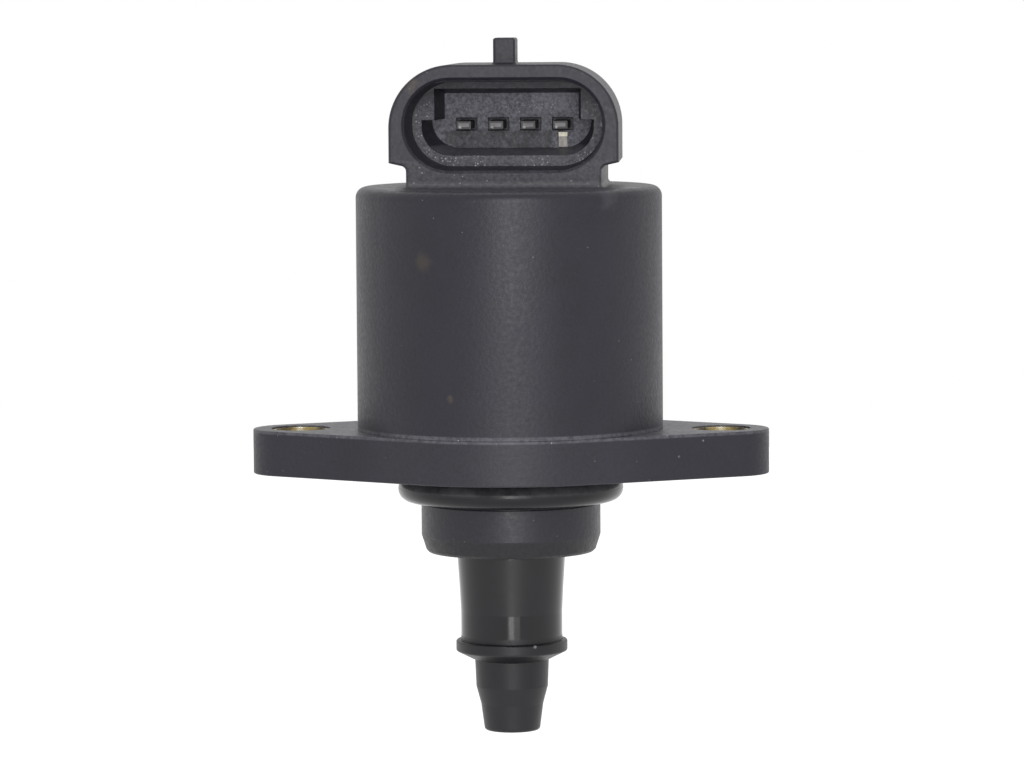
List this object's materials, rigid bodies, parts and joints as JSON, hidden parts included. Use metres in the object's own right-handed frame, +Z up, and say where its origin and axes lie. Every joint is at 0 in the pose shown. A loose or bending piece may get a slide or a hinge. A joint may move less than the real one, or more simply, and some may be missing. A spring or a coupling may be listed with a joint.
{
  "type": "idle air control valve",
  "caption": "Idle air control valve: a round moulded stepper motor with a plug socket on top, an eared flange with bolt sleeves and an O-ring, and a tapered pintle slid by a lead screw.",
  "frame": {"origin": "on the valve's axis, in the plane of the flange's underside, midway between the bolt holes", "axes": "+Z up the axis to the plug shroud, the shroud's mouth looks along -Y, the bolt holes lie on X"},
  "size_m": [0.0542, 0.032, 0.0728],
  "materials": {
    "housing_plastic": "fine-grained satin charcoal",
    "pintle_plastic": "smooth black",
    "seal_rubber": "black, slightly oiled",
    "sleeve_brass": "turned brass",
    "terminal_metal": "tinned",
    "yoke_steel": "zinc plated",
    "plain_steel": "ground",
    "bobbin_plastic": "natural nylon",
    "winding_copper": "enamelled copper wire",
    "bush_bronze": "sintered bronze",
    "magnet_ferrite": "dull grey ferrite"
  },
  "bodies": {
    "valve_body": {"motor_housing": "housing_plastic", "mounting_flange": "housing_plastic", "left_bolt_sleeve": "sleeve_brass", "right_bolt_sleeve": "sleeve_brass", "o_ring": "seal_rubber", "terminal_1": "terminal_metal", "terminal_2": "terminal_metal", "terminal_3": "terminal_metal", "terminal_4": "terminal_metal", "lower_outer_yoke": "yoke_steel", "lower_inner_yoke": "yoke_steel", "upper_inner_yoke": "yoke_steel", "upper_outer_yoke": "yoke_steel", "lower_bobbin": "bobbin_plastic", "upper_bobbin": "bobbin_plastic", "lower_winding": "winding_copper", "upper_winding": "winding_copper", "rear_bush": "bush_bronze", "bearing_outer_ring": "plain_steel"},
    "rotor": {"rotor_hub": "bobbin_plastic", "rotor_magnet": "magnet_ferrite", "lead_nut": "sleeve_brass", "bearing_inner_ring": "plain_steel", "thrust_washer": "bobbin_plastic"},
    "ball_set": {"bearing_balls": "plain_steel", "bearing_cage": "bobbin_plastic"},
    "plunger": {"pintle": "pintle_plastic", "lead_screw": "plain_steel"}
  },
  "joints": [
    {"name": "rotor_spin", "type": "hinge", "parent": "valve_body", "child": "rotor", "pos_m": [0, 0, 0.0067], "axis": [0, 0, 1], "range_deg": [-180, 2880]},
    {"name": "pintle_slide", "type": "slide", "parent": "valve_body", "child": "plunger", "axis": [0, 0, 1], "range_m": [-0.0005, 0.008]},
    {"name": "ball_orbit", "type": "hinge", "parent": "valve_body", "child": "ball_set", "pos_m": [0, 0, 0.0067], "axis": [0, 0, 1], "range_deg": [-72, 1152]}
  ],
  "couplings": [
    {"joint": "rotor_spin", "follows": "pintle_slide", "rad_per_m": 6283.2},
    {"joint": "ball_orbit", "follows": "pintle_slide", "rad_per_m": 2513.3}
  ]
}
